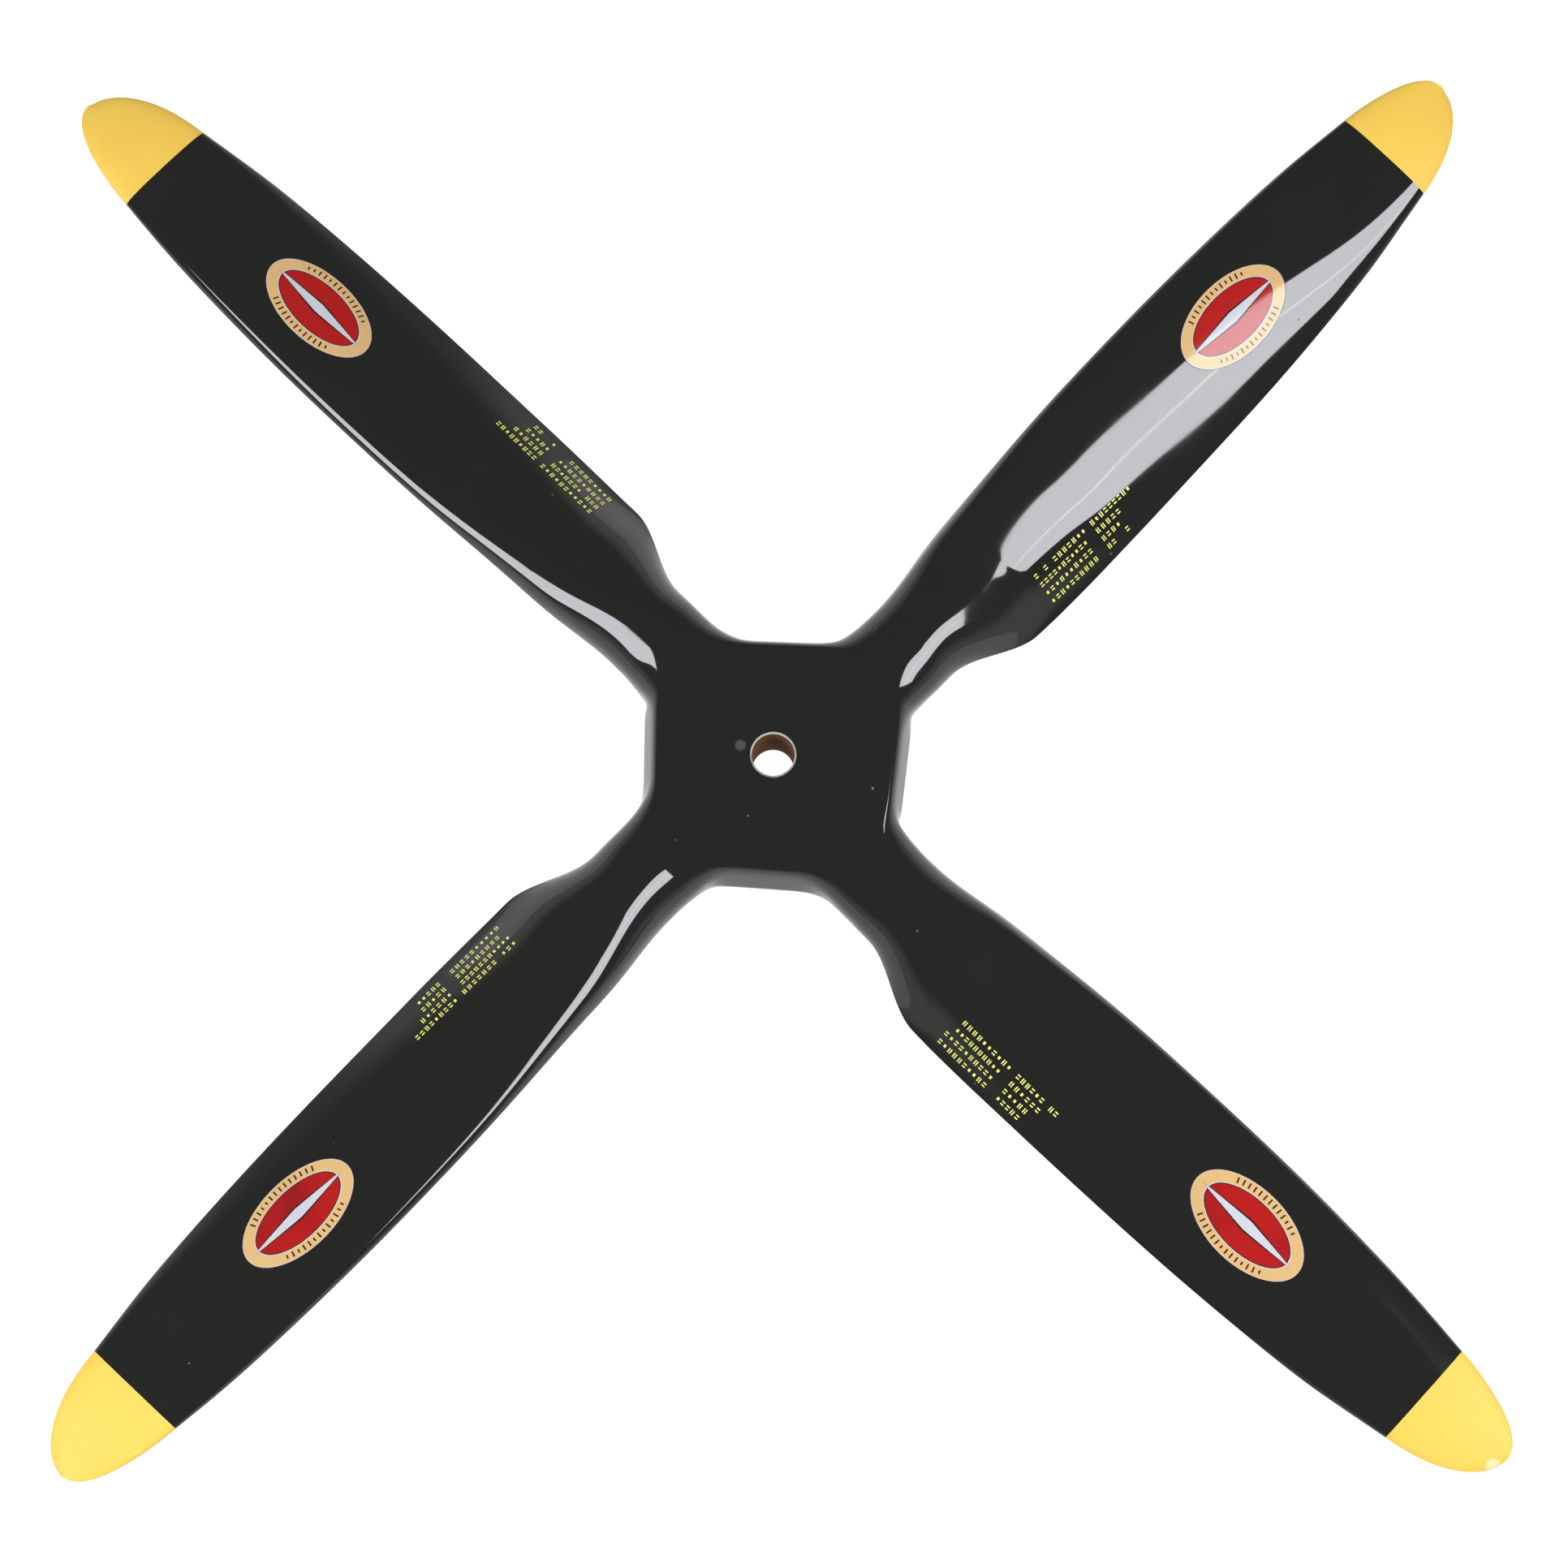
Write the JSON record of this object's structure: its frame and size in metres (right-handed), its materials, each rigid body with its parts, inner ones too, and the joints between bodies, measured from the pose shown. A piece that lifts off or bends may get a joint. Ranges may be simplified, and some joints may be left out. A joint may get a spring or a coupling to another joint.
{
  "type": "model aircraft propeller",
  "caption": "Moulded four-blade tractor propeller for a large model aircraft: octagonal hub block with a centre bore, twisted gloss black blades and yellow tips.",
  "frame": {"origin": "on the bore's axis at the hub's back face, which rests on the floor", "axes": "+Z forward in flight, out of the hub's front face; blade_1 lies along +X, blade_2 along +Y, blade_3 along -X and blade_4 along -Y"},
  "size_m": [0.5586, 0.5586, 0.0225],
  "materials": {
    "black_gelcoat": "high-gloss black gel-coat over carbon laminate",
    "yellow_paint": "gloss warm yellow paint",
    "brown_core": "bare machined brown core",
    "badge_print": "glossy printed oval badge"
  },
  "bodies": {
    "root": {"hub": "black_gelcoat", "hub_core": "brown_core", "blade_1": "black_gelcoat", "blade_2": "black_gelcoat", "blade_3": "black_gelcoat", "blade_4": "black_gelcoat", "tip_1": "yellow_paint", "tip_2": "yellow_paint", "tip_3": "yellow_paint", "tip_4": "yellow_paint", "badge_1": "badge_print", "badge_2": "badge_print", "badge_3": "badge_print", "badge_4": "badge_print"}
  },
  "joints": []
}
